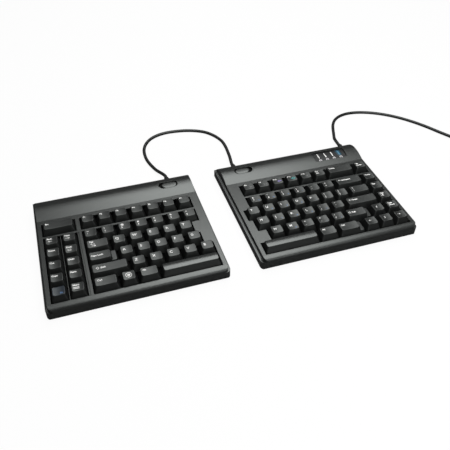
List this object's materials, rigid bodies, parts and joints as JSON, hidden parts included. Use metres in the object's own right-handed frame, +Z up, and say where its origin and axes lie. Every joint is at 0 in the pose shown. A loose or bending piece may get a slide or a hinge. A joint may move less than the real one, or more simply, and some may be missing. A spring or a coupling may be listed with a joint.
{
  "type": "split keyboard",
  "caption": "Low split keyboard in halves with a rounded rear hump, joined by a link cord, with sprung keys, sliding latches, indicator lights and a USB cord.",
  "frame": {"origin": "on the desk under the feet, midway between the two halves and midway between their front and rear edges", "axes": "+X to the user's right along the row of the two halves, +Y away from the user, +Z up from the desk"},
  "size_m": [0.6007, 0.3011, 0.0237],
  "materials": {
    "case_black": "fine satin texture",
    "cover_charcoal": "fine satin texture",
    "key_black": "satin, a little polished on the tops",
    "steel": "plain sheet",
    "film": "clear film with printed traces",
    "dome_rubber": "matte silicone",
    "board_green": "solder mask",
    "black_rubber": "matte",
    "panel_black": "smooth",
    "light_white": "frosted light pipe",
    "cord_black": "satin sheath"
  },
  "bodies": {
    "left_half": {"left_bottom_tray": "case_black", "left_top_cover": "cover_charcoal", "left_backing_plate": "steel", "left_membrane": "film", "left_dome_sheet": "dome_rubber", "left_guide_frame": "case_black", "left_link_board": "board_green", "left_screws": "steel", "left_feet": "black_rubber", "left_link_gland": "black_rubber", "link_cord": "cord_black"},
    "right_half": {"right_bottom_tray": "case_black", "right_top_cover": "cover_charcoal", "right_backing_plate": "steel", "right_membrane": "film", "right_dome_sheet": "dome_rubber", "right_guide_frame": "case_black", "controller_board": "board_green", "right_screws": "steel", "right_feet": "black_rubber", "right_cord_glands": "black_rubber", "indicator_panel": "panel_black", "indicator_lights": "light_white", "usb_cord": "cord_black", "usb_coil": "cord_black", "usb_plug": "cord_black", "cord_tie": "cord_black"},
    "left_latch": {"left_release_latch": "cover_charcoal"},
    "right_latch": {"right_release_latch": "cover_charcoal"},
    "esc_key_body": {"esc_key": "key_black"},
    "left_function_keys_body": {"left_function_keys": "key_black"},
    "hot_keys_body": {"hot_keys": "key_black"},
    "left_number_keys_body": {"left_number_keys": "key_black"},
    "tab_key_body": {"tab_key": "key_black"},
    "left_upper_letter_keys_body": {"left_upper_letter_keys": "key_black"},
    "caps_lock_key_body": {"caps_lock_key": "key_black"},
    "left_home_letter_keys_body": {"left_home_letter_keys": "key_black"},
    "left_shift_key_body": {"left_shift_key": "key_black"},
    "left_lower_letter_keys_body": {"left_lower_letter_keys": "key_black"},
    "left_control_key_body": {"left_control_key": "key_black"},
    "system_key_body": {"system_key": "key_black"},
    "left_alt_key_body": {"left_alt_key": "key_black"},
    "left_space_bar_body": {"left_space_bar": "key_black"},
    "right_function_keys_body": {"right_function_keys": "key_black"},
    "delete_key_body": {"delete_key": "key_black"},
    "right_number_keys_body": {"right_number_keys": "key_black"},
    "backspace_key_body": {"backspace_key": "key_black"},
    "right_upper_letter_keys_body": {"right_upper_letter_keys": "key_black"},
    "backslash_key_body": {"backslash_key": "key_black"},
    "right_home_letter_keys_body": {"right_home_letter_keys": "key_black"},
    "enter_key_body": {"enter_key": "key_black"},
    "right_lower_letter_keys_body": {"right_lower_letter_keys": "key_black"},
    "right_shift_key_body": {"right_shift_key": "key_black"},
    "right_space_bar_body": {"right_space_bar": "key_black"},
    "right_alt_key_body": {"right_alt_key": "key_black"},
    "right_control_key_body": {"right_control_key": "key_black"},
    "arrow_keys_body": {"arrow_keys": "key_black"},
    "navigation_keys_body": {"navigation_keys": "key_black"}
  },
  "joints": [
    {"name": "separation", "type": "slide", "parent": "left_half", "child": "right_half", "axis": [1, 0, 0], "range_m": [-0.03, 0.1], "deforming": ["link_cord"]},
    {"name": "left_latch_slide", "type": "slide", "parent": "left_half", "child": "left_latch", "axis": [-1, 0, 0], "range_m": [0, 0.0028], "stiffness_N_per_m": 300, "springref_m": -0.003},
    {"name": "right_latch_slide", "type": "slide", "parent": "right_half", "child": "right_latch", "axis": [1, 0, 0], "range_m": [0, 0.0028], "stiffness_N_per_m": 300, "springref_m": -0.003},
    {"name": "esc_key_press", "type": "slide", "parent": "left_half", "child": "esc_key_body", "axis": [0, 0, -1], "range_m": [0, 0.0035], "stiffness_N_per_m": 150, "springref_m": -0.0035, "deforming": ["left_dome_sheet"]},
    {"name": "left_function_keys_press", "type": "slide", "parent": "left_half", "child": "left_function_keys_body", "axis": [0, 0, -1], "range_m": [0, 0.0035], "stiffness_N_per_m": 1050, "springref_m": -0.0035, "deforming": ["left_dome_sheet"]},
    {"name": "hot_keys_press", "type": "slide", "parent": "left_half", "child": "hot_keys_body", "axis": [0, 0, -1], "range_m": [0, 0.0035], "stiffness_N_per_m": 1500, "springref_m": -0.0035, "deforming": ["left_dome_sheet"]},
    {"name": "left_number_keys_press", "type": "slide", "parent": "left_half", "child": "left_number_keys_body", "axis": [0, 0, -1], "range_m": [0, 0.0035], "stiffness_N_per_m": 1050, "springref_m": -0.0035, "deforming": ["left_dome_sheet"]},
    {"name": "tab_key_press", "type": "slide", "parent": "left_half", "child": "tab_key_body", "axis": [0, 0, -1], "range_m": [0, 0.0035], "stiffness_N_per_m": 150, "springref_m": -0.0035, "deforming": ["left_dome_sheet"]},
    {"name": "left_upper_letter_keys_press", "type": "slide", "parent": "left_half", "child": "left_upper_letter_keys_body", "axis": [0, 0, -1], "range_m": [0, 0.0035], "stiffness_N_per_m": 750, "springref_m": -0.0035, "deforming": ["left_dome_sheet"]},
    {"name": "caps_lock_key_press", "type": "slide", "parent": "left_half", "child": "caps_lock_key_body", "axis": [0, 0, -1], "range_m": [0, 0.0035], "stiffness_N_per_m": 150, "springref_m": -0.0035, "deforming": ["left_dome_sheet"]},
    {"name": "left_home_letter_keys_press", "type": "slide", "parent": "left_half", "child": "left_home_letter_keys_body", "axis": [0, 0, -1], "range_m": [0, 0.0035], "stiffness_N_per_m": 750, "springref_m": -0.0035, "deforming": ["left_dome_sheet"]},
    {"name": "left_shift_key_press", "type": "slide", "parent": "left_half", "child": "left_shift_key_body", "axis": [0, 0, -1], "range_m": [0, 0.0035], "stiffness_N_per_m": 150, "springref_m": -0.0035, "deforming": ["left_dome_sheet"]},
    {"name": "left_lower_letter_keys_press", "type": "slide", "parent": "left_half", "child": "left_lower_letter_keys_body", "axis": [0, 0, -1], "range_m": [0, 0.0035], "stiffness_N_per_m": 750, "springref_m": -0.0035, "deforming": ["left_dome_sheet"]},
    {"name": "left_control_key_press", "type": "slide", "parent": "left_half", "child": "left_control_key_body", "axis": [0, 0, -1], "range_m": [0, 0.0035], "stiffness_N_per_m": 150, "springref_m": -0.0035, "deforming": ["left_dome_sheet"]},
    {"name": "system_key_press", "type": "slide", "parent": "left_half", "child": "system_key_body", "axis": [0, 0, -1], "range_m": [0, 0.0035], "stiffness_N_per_m": 150, "springref_m": -0.0035, "deforming": ["left_dome_sheet"]},
    {"name": "left_alt_key_press", "type": "slide", "parent": "left_half", "child": "left_alt_key_body", "axis": [0, 0, -1], "range_m": [0, 0.0035], "stiffness_N_per_m": 150, "springref_m": -0.0035, "deforming": ["left_dome_sheet"]},
    {"name": "left_space_bar_press", "type": "slide", "parent": "left_half", "child": "left_space_bar_body", "axis": [0, 0, -1], "range_m": [0, 0.0035], "stiffness_N_per_m": 150, "springref_m": -0.0035, "deforming": ["left_dome_sheet"]},
    {"name": "right_function_keys_press", "type": "slide", "parent": "right_half", "child": "right_function_keys_body", "axis": [0, 0, -1], "range_m": [0, 0.0035], "stiffness_N_per_m": 900, "springref_m": -0.0035, "deforming": ["right_dome_sheet"]},
    {"name": "delete_key_press", "type": "slide", "parent": "right_half", "child": "delete_key_body", "axis": [0, 0, -1], "range_m": [0, 0.0035], "stiffness_N_per_m": 150, "springref_m": -0.0035, "deforming": ["right_dome_sheet"]},
    {"name": "right_number_keys_press", "type": "slide", "parent": "right_half", "child": "right_number_keys_body", "axis": [0, 0, -1], "range_m": [0, 0.0035], "stiffness_N_per_m": 900, "springref_m": -0.0035, "deforming": ["right_dome_sheet"]},
    {"name": "backspace_key_press", "type": "slide", "parent": "right_half", "child": "backspace_key_body", "axis": [0, 0, -1], "range_m": [0, 0.0035], "stiffness_N_per_m": 150, "springref_m": -0.0035, "deforming": ["right_dome_sheet"]},
    {"name": "right_upper_letter_keys_press", "type": "slide", "parent": "right_half", "child": "right_upper_letter_keys_body", "axis": [0, 0, -1], "range_m": [0, 0.0035], "stiffness_N_per_m": 1050, "springref_m": -0.0035, "deforming": ["right_dome_sheet"]},
    {"name": "backslash_key_press", "type": "slide", "parent": "right_half", "child": "backslash_key_body", "axis": [0, 0, -1], "range_m": [0, 0.0035], "stiffness_N_per_m": 150, "springref_m": -0.0035, "deforming": ["right_dome_sheet"]},
    {"name": "right_home_letter_keys_press", "type": "slide", "parent": "right_half", "child": "right_home_letter_keys_body", "axis": [0, 0, -1], "range_m": [0, 0.0035], "stiffness_N_per_m": 900, "springref_m": -0.0035, "deforming": ["right_dome_sheet"]},
    {"name": "enter_key_press", "type": "slide", "parent": "right_half", "child": "enter_key_body", "axis": [0, 0, -1], "range_m": [0, 0.0035], "stiffness_N_per_m": 150, "springref_m": -0.0035, "deforming": ["right_dome_sheet"]},
    {"name": "right_lower_letter_keys_press", "type": "slide", "parent": "right_half", "child": "right_lower_letter_keys_body", "axis": [0, 0, -1], "range_m": [0, 0.0035], "stiffness_N_per_m": 750, "springref_m": -0.0035, "deforming": ["right_dome_sheet"]},
    {"name": "right_shift_key_press", "type": "slide", "parent": "right_half", "child": "right_shift_key_body", "axis": [0, 0, -1], "range_m": [0, 0.0035], "stiffness_N_per_m": 150, "springref_m": -0.0035, "deforming": ["right_dome_sheet"]},
    {"name": "right_space_bar_press", "type": "slide", "parent": "right_half", "child": "right_space_bar_body", "axis": [0, 0, -1], "range_m": [0, 0.0035], "stiffness_N_per_m": 150, "springref_m": -0.0035, "deforming": ["right_dome_sheet"]},
    {"name": "right_alt_key_press", "type": "slide", "parent": "right_half", "child": "right_alt_key_body", "axis": [0, 0, -1], "range_m": [0, 0.0035], "stiffness_N_per_m": 150, "springref_m": -0.0035, "deforming": ["right_dome_sheet"]},
    {"name": "right_control_key_press", "type": "slide", "parent": "right_half", "child": "right_control_key_body", "axis": [0, 0, -1], "range_m": [0, 0.0035], "stiffness_N_per_m": 150, "springref_m": -0.0035, "deforming": ["right_dome_sheet"]},
    {"name": "arrow_keys_press", "type": "slide", "parent": "right_half", "child": "arrow_keys_body", "axis": [0, 0, -1], "range_m": [0, 0.0035], "stiffness_N_per_m": 600, "springref_m": -0.0035, "deforming": ["right_dome_sheet"]},
    {"name": "navigation_keys_press", "type": "slide", "parent": "right_half", "child": "navigation_keys_body", "axis": [0, 0, -1], "range_m": [0, 0.0035], "stiffness_N_per_m": 750, "springref_m": -0.0035, "deforming": ["right_dome_sheet"]}
  ]
}
